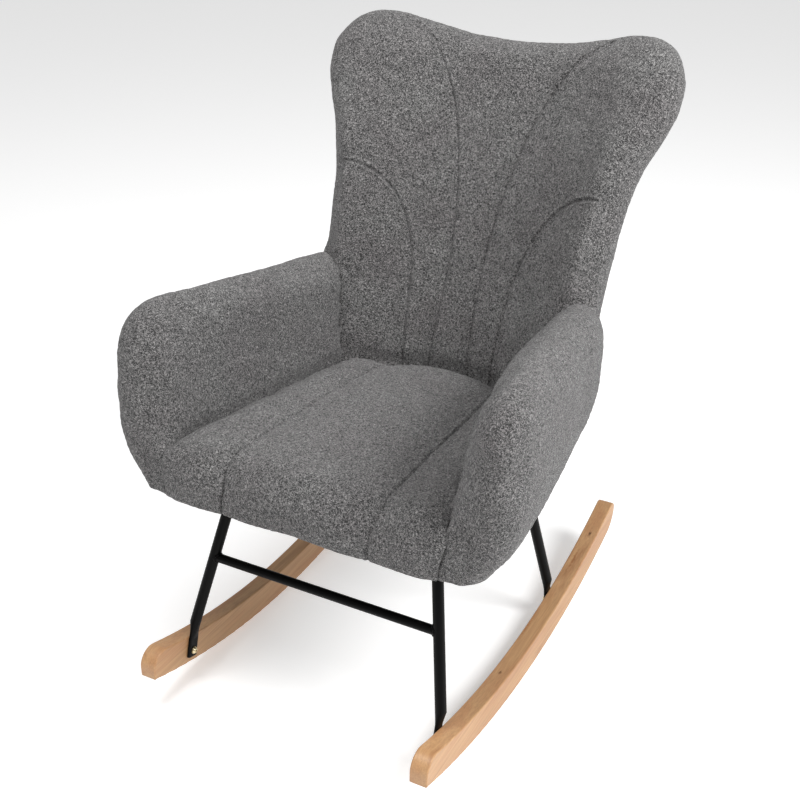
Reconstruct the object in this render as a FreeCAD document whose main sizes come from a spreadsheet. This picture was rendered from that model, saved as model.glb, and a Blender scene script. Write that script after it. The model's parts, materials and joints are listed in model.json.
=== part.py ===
"""Upholstered wing-back rocking chair: wooden rockers, bent steel legs, padded shell.

Millimetres, +Z up, -Y towards the sitter's feet, +X the sitter's left hand.
The origin is on the floor, in the middle of the chair's overall footprint.
Every length along Y in the sheet is counted from the front tips of the rockers.
"""
import FreeCAD, Part
import os
from math import asin, cos, degrees, pi, radians, sin, sqrt

import Sketcher

os.makedirs("parts", exist_ok=True)
doc = FreeCAD.newDocument("rocking_chair")
Vector = FreeCAD.Vector
Rotation = FreeCAD.Rotation
Placement = FreeCAD.Placement
X_AXIS = Vector(1, 0, 0)
Y_AXIS = Vector(0, 1, 0)
Z_AXIS = Vector(0, 0, 1)

# ---------------------------------------------------------------- driving sizes
SIZES = {
    "origin_y": 474.6,              # rocker tips to the origin, along Y
    # rockers
    "rocker_radius": 1287.0,        # curve that rolls on the floor
    "rocker_depth": 52.0,
    "rocker_width": 31.0,
    "rocker_gap": 484.0,            # clear width between the two rockers
    "contact_y": 429.0,             # lowest line of the rockers
    "rear_reach": 408.0,            # lowest line to the rear tips
    "nose_round": 28.0,
    "heel_round": 50.0,
    "tail_round": 15.0,
    "edge_round": 2.5,
    # steel legs
    "tube": 19.0,
    "tube_wall": 1.5,
    "leg_top_x": 185.5,
    "leg_top_z": 393.0,
    "front_leg_top_y": 197.2,
    "rear_leg_top_y": 504.1,
    "front_bolt_y": 98.0,
    "front_bolt_z": 70.0,
    "rear_bolt_y": 570.0,
    "rear_bolt_z": 34.5,
    "tab_width": 23.0,
    "tab_thickness": 6.0,
    "tab_straight": 34.0,           # flattened stretch, end to the start of the squash
    "tab_end": 12.0,                # bolt centre to the end of the tab
    "squash": 30.0,                 # length over which the tube is flattened
    "stretcher_tube": 16.0,
    "stretcher_z": 243.4,
    # mounting rails welded on the leg tops
    "rail_length": 474.0,
    "rail_width": 30.0,
    "rail_thickness": 4.0,
    # seat frame and seat
    "dust_cover": 1.0,
    "frame_front": 98.0,
    "frame_rear": 526.0,
    "frame_half_width": 252.0,
    "lumber_width": 30.0,
    "lumber_height": 34.0,
    "board_thickness": 9.0,
    "dust_cover_inset": 5.0,
    "frame_bolt": 26.0,
    "arm_bolt_front": 147.2,        # arm bolts, from the rocker tips
    "arm_bolt_rear": 444.1,
    "seat_front": 78.0,
    "seat_rear": 640.0,
    "seat_top": 478.0,
    "seat_drop": 36.0,              # fall of the seat top from front to rear
    "seat_round": 26.0,
    "seat_nose_run": 70.0,          # level stretch of the top behind the front edge
    # barrel back
    "back_foot_y": 587.0,           # padded face of the back at the seat base
    "back_lean": 0.46,              # run per unit of rise
    "back_radius": 305.0,           # padded face, in a level section
    "back_thickness": 90.0,         # in a level section
    "rim_foot_angle": 47.0,         # half-spread of the rim round the barrel, in degrees
    "rim_neck_angle": 49.5,
    "rim_wing_angle": 61.6,
    "rim_top_angle": 49.5,
    "neck_z": 790.0,
    "wing_z": 950.0,
    "wing_belly_drop": 45.0,        # below the wing's widest point
    "wing_crest_rise": 52.0,        # above it
    "crest_angle": 55.6,
    "wing_top_x": 262.0,
    "wing_top_z": 1040.0,
    "back_top_z": 990.0,
    "back_foam": 28.0,              # padded face to the core, in a level section
    "core_thickness": 6.0,
    "back_panel": 6.0,
    "hollow_inset": 22.0,           # rim to the hollow behind the foam
    "bracket_width": 80.0,
    "bracket_rise": 90.0,
    "bracket_fold": 4.4,            # the strap's gauge, measured level on the lean
    # arms
    "arm_thickness": 76.0,
    "arm_inner_x": 240.0,           # inner face at the seat base, front end
    "arm_flare": 8.5,               # degrees outward
    "arm_taper": 5.0,               # degrees, rear ends closer together
    "arm_front": 82.0,
    "arm_nose": 92.0,
    "arm_front_top": 98.0,
    "arm_nose_z": 575.0,
    "arm_top_front_z": 690.0,
    "arm_top_front_y": 220.0,
    "arm_top_mid_z": 664.0,
    "arm_top_mid_y": 430.0,
    "arm_top_rear_z": 632.0,
    "arm_rear_y": 645.0,
    "arm_corner": 105.0,
    "arm_round": 28.0,
    "arm_core": 15.0,
    "arm_core_inset": 34.0,
    "arm_drop": 40.0,               # blank below the seat base, sawn off level
    # fasteners
    "bolt": 6.0,
    "bolt_head": 12.0,
    "bolt_head_height": 4.0,
    "bolt_socket": 4.0,
    "washer": 13.0,
    "washer_thickness": 1.2,
    "nut_barrel": 8.0,
    "insert": 9.0,
    "insert_length": 15.0,
}

sheet = doc.addObject("Spreadsheet::Sheet", "Sizes")
for row, (alias, value) in enumerate(SIZES.items(), start=1):
    sheet.set("A%d" % row, alias)
    sheet.set("B%d" % row, str(value))
    sheet.setAlias("B%d" % row, alias)
doc.recompute()


def size(alias):
    """A driving size, read back from the sheet."""
    return float(sheet.get(alias))


NODES = {}


def node(name, obj):
    """Name an object as one of the chair's sub-parts."""
    obj.Label = name
    NODES[name] = obj
    return obj


def bind(obj, **expressions):
    """Bind properties to expressions on the sheet; PROPERTY_SUB means PROPERTY.Sub."""
    for prop, expression in expressions.items():
        obj.setExpression(prop.replace("__", "."), expression)
    return obj


def level(y, z=0.0, x=0.0):
    """A place given from the rocker tips, as a vector from the origin."""
    return Vector(x, y - size("origin_y"), z)


SIDES = {"left": 1, "right": -1}
FAR = 900.0                         # past the chair's sides
CLEAR = 100.0                       # run-out of a cutting tool
NEAR = 2.0                          # reach when an edge is picked by its place
CHAMFER = 1.0                       # at the end of a bolt's shank
NECK_EASE = 20.0                    # easing of the wing's outline near its neck and its crest
CREST_EASE = 11.0
WING_TURN = 2.0                     # degrees from the widest point to the belly and to the crest
SEAT_BASE = size("leg_top_z") + size("rail_thickness") + size("dust_cover")
BASE = "(Sizes.leg_top_z + Sizes.rail_thickness + Sizes.dust_cover)"


# ---------------------------------------------------------------- small builders
def new_body(name):
    return doc.addObject("PartDesign::Body", name)


def new_sketch(body, name, role, offset=None):
    """A sketch on one of the body's own origin planes."""
    sketch = body.newObject("Sketcher::SketchObject", name)
    plane = [p for p in body.Origin.OriginFeatures if p.Role == role][0]
    sketch.AttachmentSupport = [(plane, "")]
    sketch.MapMode = "FlatFace"
    if offset is not None:
        sketch.AttachmentOffset = offset
    return sketch


def close_up(sketch, first, count):
    """Join count edges end to start in a ring, starting at edge first."""
    for k in range(count):
        this, following = first + k, first + (k + 1) % count
        sketch.addConstraint(Sketcher.Constraint("Coincident", this, 2, following, 1))


def polygon(sketch, points):
    """A closed ring of straight edges through points given as (u, v)."""
    first = sketch.GeometryCount
    for k, point in enumerate(points):
        after = points[(k + 1) % len(points)]
        line = Part.LineSegment(Vector(*point, 0), Vector(*after, 0))
        sketch.addGeometry(line, False)
    close_up(sketch, first, len(points))
    return first


def circle(sketch, u, v, expression):
    """A circle whose diameter is bound to an expression."""
    edge = sketch.addGeometry(Part.Circle(Vector(u, v, 0), Z_AXIS, 5.0), False)
    mark = sketch.addConstraint(Sketcher.Constraint("Diameter", edge, 10.0))
    sketch.setExpression("Constraints[%d]" % mark, expression)
    return edge


def dimension(sketch, expression, *constraint):
    """A constraint whose value is bound to an expression."""
    mark = sketch.addConstraint(Sketcher.Constraint(*constraint))
    sketch.setExpression("Constraints[%d]" % mark, expression)


def pad(body, sketch, name, length, reverse=False):
    """A pad whose length is an expression."""
    feature = body.newObject("PartDesign::Pad", name)
    feature.Profile = sketch
    feature.Reversed = reverse
    feature.setExpression("Length", length)
    doc.recompute()
    return feature


def pocket(body, sketch, name, length, reverse=False):
    """A pocket that must take material away."""
    before = body.Shape.Volume
    feature = body.newObject("PartDesign::Pocket", name)
    feature.Profile = sketch
    feature.Reversed = reverse
    feature.setExpression("Length", length)
    doc.recompute()
    if body.Shape.Volume >= before:
        raise RuntimeError(name + " cuts nothing")
    return feature


def edges_where(shape, test):
    """Names of the edges that a test picks."""
    return ["Edge%d" % k for k, edge in enumerate(shape.Edges, start=1) if test(edge)]


def fillet(body, base, name, radius, test):
    """Round the edges that a test picks."""
    feature = body.newObject("PartDesign::Fillet", name)
    feature.Base = (base, edges_where(base.Shape, test))
    feature.setExpression("Radius", radius)
    doc.recompute()
    return feature


def box(name, length, width, height, x, y, z):
    """A block with its sizes and its low corner bound to expressions."""
    block = doc.addObject("Part::Box", name)
    bind(block, Length=length, Width=width, Height=height)
    bind(block, Placement__Base__x=x, Placement__Base__y=y + " - Sizes.origin_y")
    bind(block, Placement__Base__z=z)
    return block


def everything_above(name, height):
    """A block over the whole chair, from a height up."""
    return box(name, str(2 * FAR), str(2 * FAR), str(FAR), str(-FAR), str(-FAR), height)


def cylinder(name, radius, height, base, axis):
    """A cylinder from base along axis, its radius and height bound to expressions."""
    rod = doc.addObject("Part::Cylinder", name)
    bind(rod, Radius=radius, Height=height)
    rod.Placement = Placement(base, Rotation(Z_AXIS, axis))
    return rod


def fuse(name, shapes):
    """All shapes as one."""
    joined = doc.addObject("Part::MultiFuse", name)
    joined.Shapes = shapes
    return joined


def cut(name, base, *tools):
    """base less every tool."""
    result = doc.addObject("Part::Cut", name)
    result.Base = base
    result.Tool = tools[0] if len(tools) == 1 else fuse(name + "_tools", list(tools))
    return result


def common(name, base, tool):
    """What base and tool share."""
    result = doc.addObject("Part::Common", name)
    result.Base = base
    result.Tool = tool
    return result


def copies(name, template, placements):
    """A group of separate solids: one shape at each placement."""
    doc.recompute()
    shapes = []
    for place in placements:
        shape = template.Shape.copy()
        shape.Placement = place.multiply(template.Shape.Placement)
        shapes.append(shape)
    group = doc.addObject("Part::Feature", name)
    group.Shape = Part.makeCompound(shapes)
    return node(name, group)


def holes(name, radius, height, places):
    """Drills to cut with: one rod at each (base, axis)."""
    rods = []
    for k, (base, axis) in enumerate(places):
        rods.append(cylinder("%s_%d" % (name, k), radius, height, base, axis))
    return rods


# ---------------------------------------------------------------- rockers
def rocker(name, side):
    """A curved runner sawn from one plank, with blind holes for its two inserts."""
    body = new_body(name)
    outline = new_sketch(body, name + "_outline", "YZ_Plane")
    radius, depth = size("rocker_radius"), size("rocker_depth")
    front, rear = size("contact_y"), size("rear_reach")
    centre = Vector(0, radius, 0)
    for r in (radius, radius - depth):
        arc = Part.ArcOfCircle(Part.Circle(centre, Z_AXIS, r),
                               -pi / 2 - asin(front / r), -pi / 2 + asin(rear / r))
        outline.addGeometry(arc, False)
    low_front, low_rear, high_front, high_rear = [
        Vector(u, radius - sqrt(r * r - u * u), 0)
        for r in (radius, radius - depth) for u in (-front, rear)]
    outline.addGeometry(Part.LineSegment(low_rear, high_rear), False)
    outline.addGeometry(Part.LineSegment(high_front, low_front), False)
    joints = ((0, 2, 2, 1), (2, 2, 1, 2), (1, 1, 3, 1), (3, 2, 0, 1), (0, 3, 1, 3))
    for joint in joints:
        outline.addConstraint(Sketcher.Constraint("Coincident", *joint))
    outline.addConstraint(Sketcher.Constraint("Vertical", 2))
    outline.addConstraint(Sketcher.Constraint("Vertical", 3))
    outline.addConstraint(Sketcher.Constraint("PointOnObject", 0, 3, -2))
    dimension(outline, "Sizes.rocker_radius", "DistanceY", -1, 1, 0, 3, radius)
    dimension(outline, "Sizes.rocker_radius", "Radius", 0, radius)
    dimension(outline, "Sizes.rocker_radius - Sizes.rocker_depth", "Radius", 1, radius - depth)
    dimension(outline, "Sizes.contact_y", "DistanceX", 3, 2, -1, 1, front)
    dimension(outline, "Sizes.rear_reach", "DistanceX", -1, 1, 2, 1, rear)
    plank = pad(body, outline, name + "_plank", "Sizes.rocker_width")

    def corner_at(u, v):
        def test(edge):
            middle = edge.CenterOfMass
            across = abs(edge.tangentAt(edge.FirstParameter).x) > 0.99
            return across and (Vector(0, middle.y, middle.z) - Vector(0, u, v)).Length < 1.0
        return test

    nose = fillet(body, plank, name + "_nose", "Sizes.nose_round",
                  corner_at(high_front.x, high_front.y))
    heel = fillet(body, nose, name + "_heel", "Sizes.heel_round",
                  corner_at(low_rear.x, low_rear.y))
    tail = fillet(body, heel, name + "_tail", "Sizes.tail_round",
                  corner_at(high_rear.x, high_rear.y))
    width = size("rocker_width")
    fillet(body, tail, name + "_edges", "Sizes.edge_round",
           lambda edge: edge.BoundBox.XLength < 1e-6 and
           min(abs(edge.CenterOfMass.x), abs(edge.CenterOfMass.x - width)) < 1e-6)
    offset = Placement(Vector(0, 0, 0 if side > 0 else width), Rotation())
    drilling = new_sketch(body, name + "_drilling", "YZ_Plane", offset)
    for y, z in bolt_places():
        circle(drilling, y - front, z, "Sizes.insert")
    pocket(body, drilling, name + "_insert_holes", "Sizes.insert_length", reverse=side > 0)
    inner = "Sizes.rocker_gap / 2" if side > 0 else "-Sizes.rocker_gap / 2 - Sizes.rocker_width"
    bind(body, Placement__Base__x=inner, Placement__Base__y="Sizes.contact_y - Sizes.origin_y")
    return node(name, body)


def bolt_places():
    """Where the front and the rear leg are bolted to a rocker, from the rocker tips."""
    return [(size("front_bolt_y"), size("front_bolt_z")),
            (size("rear_bolt_y"), size("rear_bolt_z"))]


# ---------------------------------------------------------------- steel legs
def leg_line(end, side):
    """The bend above a leg's flattened tab, the leg's top, and the unit vector between them."""
    bolt_y, bolt_z = size(end + "_bolt_y"), size(end + "_bolt_z")
    top = level(size(end + "_leg_top_y"), size("leg_top_z"), side * size("leg_top_x"))
    bolt_x = side * (size("rocker_gap") - size("tab_thickness")) / 2
    bolt = level(bolt_y, bolt_z, bolt_x)
    rise = size("tab_straight") - size("tab_end") + size("squash")
    slope = top - bolt
    slope.x = 0
    slope.normalize()
    bend = bolt + slope * rise
    return bend, top, (top - bend).normalize()


def stadium(sketch, width, thickness):
    """A flat section with round sides: u across the thickness, v across the width."""
    half, round_ = width / 2 - thickness / 2, thickness / 2
    first = sketch.GeometryCount
    sketch.addGeometry(Part.LineSegment(Vector(round_, -half, 0), Vector(round_, half, 0)), False)
    sketch.addGeometry(Part.ArcOfCircle(Part.Circle(Vector(0, half, 0), Z_AXIS, round_), 0, pi))
    sketch.addGeometry(Part.LineSegment(Vector(-round_, half, 0), Vector(-round_, -half, 0)), False)
    sketch.addGeometry(Part.ArcOfCircle(Part.Circle(Vector(0, -half, 0), Z_AXIS, round_), pi, 2 * pi))
    for k in range(4):
        following = first + (k + 1) % 4
        sketch.addConstraint(Sketcher.Constraint("Tangent", first + k, 2, following, 1))
    dimension(sketch, "Sizes.tab_thickness / 2", "Radius", first + 1, round_)
    sketch.addConstraint(Sketcher.Constraint("Symmetric", first + 1, 3, first + 3, 3, -1, 1))
    sketch.addConstraint(Sketcher.Constraint("Vertical", first))
    dimension(sketch, "Sizes.tab_width - Sizes.tab_thickness", "DistanceY",
              first + 3, 3, first + 1, 3, 2 * half)


def leg(name, end, side):
    """Round tube, squashed flat at its foot and bent upright to lie on the rocker."""
    bend, top, along = leg_line(end, side)
    lean = degrees(asin(abs(along.x)))
    tube = new_body(name + "_tube")
    ring = new_sketch(tube, name + "_ring", "XY_Plane")
    circle(ring, 0, 0, "Sizes.tube")
    run = (top - bend).Length + size("tube")
    tube_pad = tube.newObject("PartDesign::Pad", name + "_run")
    tube_pad.Profile = ring
    tube_pad.Length = run
    doc.recompute()
    tilt = Rotation(Y_AXIS, lean)
    down = tilt.multVec(Vector(0, 0, -1))
    squashed = new_sketch(tube, name + "_squashed", "XY_Plane",
                          Placement(down * size("squash"), tilt))
    stadium(squashed, size("tab_width"), size("tab_thickness"))
    loft = tube.newObject("PartDesign::AdditiveLoft", name + "_squash")
    loft.Profile = ring
    loft.Sections = [squashed]
    doc.recompute()
    pad(tube, squashed, name + "_tab", "Sizes.tab_straight", reverse=True)
    bore = new_sketch(tube, name + "_bore", "XY_Plane")
    circle(bore, 0, 0, "Sizes.tube - 2 * Sizes.tube_wall")
    hollow = tube.newObject("PartDesign::Pocket", name + "_hollow")
    hollow.Profile = bore
    hollow.Reversed = True
    hollow.Length = run + CLEAR
    doc.recompute()
    outward = X_AXIS * side
    local_x = (outward - along * outward.dot(along)).normalize()
    local_y = along.cross(local_x)
    tube.Placement = Placement(bend, Rotation(local_x, local_y, along, "ZXY"))
    above = everything_above(name + "_trim", "Sizes.leg_top_z")
    hole_at = level(size(end + "_bolt_y"), size(end + "_bolt_z"),
                    side * (size("rocker_gap") / 2 - 2 * size("tab_thickness")))
    hole = cylinder(name + "_hole", "Sizes.bolt / 2", "4 * Sizes.tab_thickness", hole_at, outward)
    return node(name, cut(name, tube, above, hole))


def stretcher(name, end):
    """Cross tube welded between two legs, its ends cut to their round."""
    ends = []
    tools = []
    for side_name, side in SIDES.items():
        bend, top, along = leg_line(end, side)
        share = (size("stretcher_z") - bend.z) / (top.z - bend.z)
        ends.append(bend + (top - bend) * share)
        length = str((top - bend).Length)
        tools.append(cylinder(name + "_cope_" + side_name, "Sizes.tube / 2", length, bend, along))
    left, right = ends
    span = str((left - right).Length)
    rod = cylinder(name + "_rod", "Sizes.stretcher_tube / 2", span, right, X_AXIS)
    bore = cylinder(name + "_bore", "Sizes.stretcher_tube / 2 - Sizes.tube_wall", span, right, X_AXIS)
    return node(name, cut(name, rod, bore, *tools))


def rail_bolt_places(end):
    """Centres of a mounting rail's four bolts on the rail's underside."""
    outer = size("frame_half_width") - size("lumber_width") / 2
    half_pitch = size("bolt_head") * 2 / 3
    y = size(end + "_leg_top_y")
    return [level(y, size("leg_top_z"), side * (outer - half_pitch - shift))
            for side in SIDES.values() for shift in (-half_pitch, half_pitch)]


def mount_rail(name, end):
    """Flat bar welded across two leg tops and bolted up into the seat frame."""
    bar = box(name + "_bar", "Sizes.rail_length", "Sizes.rail_width", "Sizes.rail_thickness",
              "-Sizes.rail_length / 2",
              "Sizes.%s_leg_top_y - Sizes.rail_width / 2" % end, "Sizes.leg_top_z")
    drills = holes(name + "_drill", "Sizes.bolt / 2", "3 * Sizes.rail_thickness",
                   [(p - Z_AXIS * 2, Z_AXIS) for p in rail_bolt_places(end)])
    return node(name, cut(name, bar, *drills))


# ---------------------------------------------------------------- fasteners
def bolt(name, length):
    """Button-head bolt with a hexagon socket: head on -Z, shank from 0 up."""
    body = new_body(name)
    profile = new_sketch(body, name + "_profile", "XZ_Plane")
    head, shank, height = size("bolt_head") / 2, size("bolt") / 2, size("bolt_head_height")
    crown, skirt = head * 0.62, height * 0.4
    points = [(0, -height), (crown, -height), (head, -skirt), (head, 0), (shank, 0),
              (shank, length - CHAMFER), (shank - CHAMFER, length), (0, length)]
    first = polygon(profile, points)
    dimension(profile, "Sizes.bolt_head / 2", "DistanceX", -1, 1, first + 2, 2, head)
    dimension(profile, "Sizes.bolt / 2", "DistanceX", -1, 1, first + 4, 1, shank)
    turned = body.newObject("PartDesign::Revolution", name + "_turned")
    turned.Profile = profile
    turned.ReferenceAxis = (profile, ["V_Axis"])
    turned.Angle = 360
    doc.recompute()
    socket = new_sketch(body, name + "_socket", "XY_Plane",
                        Placement(Vector(0, 0, -height), Rotation()))
    corner = size("bolt_socket") / sqrt(3)
    polygon(socket, [(corner * cos(k * pi / 3), corner * sin(k * pi / 3)) for k in range(6)])
    pocket(body, socket, name + "_hexagon", "Sizes.bolt_head_height * 0.6", reverse=True)
    return body


def ring(name, outer, inner, thickness):
    """A flat washer or a plain sleeve: a ring from z = 0 up."""
    body = new_body(name)
    face = new_sketch(body, name + "_face", "XY_Plane")
    circle(face, 0, 0, outer)
    circle(face, 0, 0, inner)
    pad(body, face, name + "_ring", thickness)
    return body


def at(point, axis):
    """A placement that stands a fastener at point with its shank along axis."""
    return Placement(point, Rotation(Z_AXIS, axis))


def rocker_fasteners():
    """Bolts through the leg tabs into brass inserts in the rockers."""
    bolts, washers, inserts = [], [], []
    reach = size("rocker_gap") / 2
    for side in SIDES.values():
        outward = X_AXIS * side
        for y, z in bolt_places():
            face = level(y, z, side * (reach - size("tab_thickness")))
            washers.append(at(face - outward * size("washer_thickness"), outward))
            bolts.append(at(face - outward * size("washer_thickness"), outward))
            inserts.append(at(level(y, z, side * reach), outward))
    length = size("washer_thickness") + size("tab_thickness") + size("insert_length") - CHAMFER
    copies("rocker_bolts", bolt("rocker_bolt", length), bolts)
    washer = ring("washer_blank", "Sizes.washer", "Sizes.bolt", "Sizes.washer_thickness")
    copies("rocker_washers", washer, washers)
    insert = ring("insert_blank", "Sizes.insert", "Sizes.bolt", "Sizes.insert_length")
    copies("rocker_inserts", insert, inserts)
    return washer


# ---------------------------------------------------------------- seat frame
def lumber():
    """Four rails under the seat board, drilled for their bolts."""
    inner = "2 * (Sizes.frame_half_width - Sizes.lumber_width)"
    front = box("seat_frame_front", inner, "Sizes.lumber_width", "Sizes.lumber_height",
                "Sizes.lumber_width - Sizes.frame_half_width", "Sizes.frame_front", BASE)
    node("seat_frame_front", front)
    rear = box("rear_rail_blank", inner, "Sizes.lumber_width", "Sizes.lumber_height",
               "Sizes.lumber_width - Sizes.frame_half_width",
               "Sizes.frame_rear - Sizes.lumber_width", BASE)
    drills = holes("rear_rail_drill", "Sizes.bolt / 2", "Sizes.lumber_height",
                   [(p, Z_AXIS) for p in bracket_bolt_places()])
    node("seat_frame_rear", cut("seat_frame_rear", rear, *drills))
    for side_name, side in SIDES.items():
        name = "seat_frame_" + side_name
        low = "Sizes.frame_half_width - Sizes.lumber_width" if side > 0 else "-Sizes.frame_half_width"
        blank = box(name + "_blank", "Sizes.lumber_width", "Sizes.frame_rear - Sizes.frame_front",
                    "Sizes.lumber_height", low, "Sizes.frame_front", BASE)
        tools = []
        for end in ("front", "rear"):
            places = [(p, Z_AXIS) for p in rail_bolt_places(end) if p.x * side > 0]
            tools += holes("%s_%s" % (name, end), "Sizes.nut_barrel / 2",
                           "Sizes.lumber_height * 2", places)
        for k, (y, z) in enumerate(arm_bolt_places()):
            start = level(y, z, side * (size("frame_half_width") - size("lumber_width") - NEAR))
            tools.append(cylinder("%s_arm_%d" % (name, k), "Sizes.bolt / 2",
                                  "2 * Sizes.lumber_width", start, X_AXIS * side))
        node(name, cut(name, blank, *tools))


def arm_bolt_places():
    """Where each arm is bolted to the seat frame, from the rocker tips."""
    z = SEAT_BASE + size("lumber_height") / 2
    return [(size("arm_bolt_front"), z), (size("arm_bolt_rear"), z)]


def bracket_bolt_places():
    """Centres of the two bolts that hold the back bracket under the rear rail."""
    y = size("frame_rear") - size("lumber_width") / 2
    return [level(y, SEAT_BASE, x) for x in (-size("bracket_width") / 4, size("bracket_width") / 4)]


def seat_board():
    """Plywood panel screwed on top of the rails."""
    board = box("seat_board", "2 * Sizes.frame_half_width",
                "Sizes.frame_rear - Sizes.frame_front", "Sizes.board_thickness",
                "-Sizes.frame_half_width", "Sizes.frame_front", BASE + " + Sizes.lumber_height")
    return node("seat_board", board)


def dust_cover():
    """Thin cloth panel stapled under the rails."""
    cloth = box("dust_cover_cloth", "2 * (Sizes.frame_half_width - Sizes.dust_cover_inset)",
                "Sizes.frame_rear - Sizes.frame_front - 2 * Sizes.dust_cover_inset",
                "Sizes.dust_cover", "Sizes.dust_cover_inset - Sizes.frame_half_width",
                "Sizes.frame_front + Sizes.dust_cover_inset", BASE + " - Sizes.dust_cover")
    places = rail_bolt_places("front") + rail_bolt_places("rear") + bracket_bolt_places()
    below = Z_AXIS * size("rail_thickness")
    drills = holes("dust_cover_drill", "Sizes.bolt / 2", "4 * Sizes.rail_thickness",
                   [(p - below, Z_AXIS) for p in places])
    return node("dust_cover", cut("dust_cover", cloth, *drills))


# ---------------------------------------------------------------- barrel back
def rim_outline(inset):
    """Rim of one wing as (angle round the barrel in degrees, height), foot to top."""
    foot, neck = size("rim_foot_angle"), size("rim_neck_angle")
    wing, top = size("rim_wing_angle"), size("rim_top_angle")
    neck_z, wing_z, top_z = size("neck_z"), size("wing_z"), size("wing_top_z")
    belly_z, crest_z = wing_z - size("wing_belly_drop"), wing_z + size("wing_crest_rise")
    crest = size("crest_angle")
    points = [(foot, SEAT_BASE), ((foot + neck) / 2, (SEAT_BASE + neck_z) / 2),
              (neck, neck_z - NECK_EASE), ((neck * 2 + wing) / 3, (2 * neck_z + wing_z) / 3),
              (wing - WING_TURN, belly_z), (wing, wing_z), (wing - WING_TURN, crest_z),
              (crest, top_z - CREST_EASE), (top, top_z)]
    inward = degrees(inset / size("back_radius"))
    return [(angle - inward, z - inset * (z - SEAT_BASE) / (top_z - SEAT_BASE)) for angle, z in points]


def side_tool(name, side, inset):
    """Everything beyond one wing's rim, pushed through along the wing's own thickness."""
    middle = size("back_radius") + size("back_thickness") / 2
    turn = radians(size("rim_neck_angle"))
    across = Vector(side * cos(turn), -sin(turn), 0)
    through = Vector(side * sin(turn), cos(turn), 0)
    axis_y = size("back_foot_y") - size("back_radius")

    def point(shift, z):
        lean = size("back_lean") * (z - SEAT_BASE)
        return across * (shift - sin(turn) * (axis_y + lean)) + Z_AXIS * z

    rim = [point(middle * sin(radians(angle) - turn), z) for angle, z in rim_outline(inset)]
    curve = Part.BSplineCurve()
    curve.interpolate(rim)
    low = point(0, SEAT_BASE - CLEAR)
    low = low + across * (rim[0] - low).dot(across)
    over = rim[-1] + Z_AXIS * 2 * CLEAR
    outside = [rim[-1], over, over + across * FAR, low + across * FAR, low, rim[0]]
    edges = [curve.toShape()]
    edges += [Part.LineSegment(a, b).toShape() for a, b in zip(outside, outside[1:])]
    face = Part.Face(Part.Wire(edges))
    tool = doc.addObject("Part::Feature", name)
    tool.Shape = face.extrude(through * 2 * FAR)
    tool.Placement = Placement(level(0) - through * 3 * CLEAR, Rotation())
    return tool


def top_tool(name, inset):
    """Everything above the dipped top edge."""
    top_x, top_z = size("wing_top_x"), size("wing_top_z") - inset
    dip_z = size("back_top_z") - inset
    left, right = Vector(-top_x, 0, top_z), Vector(top_x, 0, top_z)
    dip = Part.Arc(left, Vector(0, 0, dip_z), right).toShape()
    above_z = top_z + FAR
    above = [right, Vector(FAR, 0, top_z), Vector(FAR, 0, above_z), Vector(-FAR, 0, above_z),
             Vector(-FAR, 0, top_z), left]
    edges = [dip] + [Part.LineSegment(a, b).toShape() for a, b in zip(above, above[1:])]
    tool = doc.addObject("Part::Feature", name)
    tool.Shape = Part.Face(Part.Wire(edges)).extrude(Vector(0, 2 * FAR, 0))
    tool.Placement = Placement(level(-CLEAR), Rotation())
    return tool


def barrel(name, inner, outer, half_spread=75.0):
    """A leaning barrel wall between two radii, wider than the back's outline."""
    axis_y = size("back_foot_y") - size("back_radius")
    span = radians(half_spread)
    edges = []
    corners = []
    for r in (inner, outer):
        a, m, b = [Vector(r * sin(t), axis_y + r * cos(t), 0) for t in (-span, 0, span)]
        edges.append(Part.Arc(a, m, b).toShape())
        corners.append((a, b))
    edges.append(Part.LineSegment(corners[0][0], corners[1][0]).toShape())
    edges.append(Part.LineSegment(corners[0][1], corners[1][1]).toShape())
    face = Part.Face(Part.Wire(Part.__sortEdges__(edges)))
    wall = doc.addObject("Part::Feature", name)
    wall.Shape = face.extrude(Vector(0, size("back_lean"), 1) * FAR)
    wall.Placement = Placement(level(0, SEAT_BASE), Rotation())
    return wall


def shaped_wall(name, inner, outer, inset):
    """A barrel wall trimmed to the back's rim, inset from it all round."""
    return cut(name, barrel(name + "_barrel", inner, outer), side_tool(name + "_left_rim", 1, inset),
               side_tool(name + "_right_rim", -1, inset), top_tool(name + "_top_rim", inset))


def backrest():
    """Foam face with a rolled rim over a moulded core; a thin panel closes the hollow rear."""
    face, rear = size("back_radius"), size("back_radius") + size("back_thickness")
    behind_foam, inset = face + size("back_foam"), size("hollow_inset")
    full = shaped_wall("back_slab", face, rear, 0)
    hollow = shaped_wall("back_hollow", behind_foam, rear + size("back_thickness"), inset)
    core = shaped_wall("backrest_core", behind_foam, behind_foam + size("core_thickness"), inset)
    node("backrest_core", core)
    node("back_panel", shaped_wall("back_panel", rear - size("back_panel"), rear, inset))
    node("backrest_pad", cut("backrest_pad", full, hollow, back_bracket()))
    return full


def behind_the_back(name):
    """Everything from the padded face of the back rearward, for trimming what meets it."""
    return barrel(name, size("back_radius"), 3 * size("back_radius"))


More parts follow.
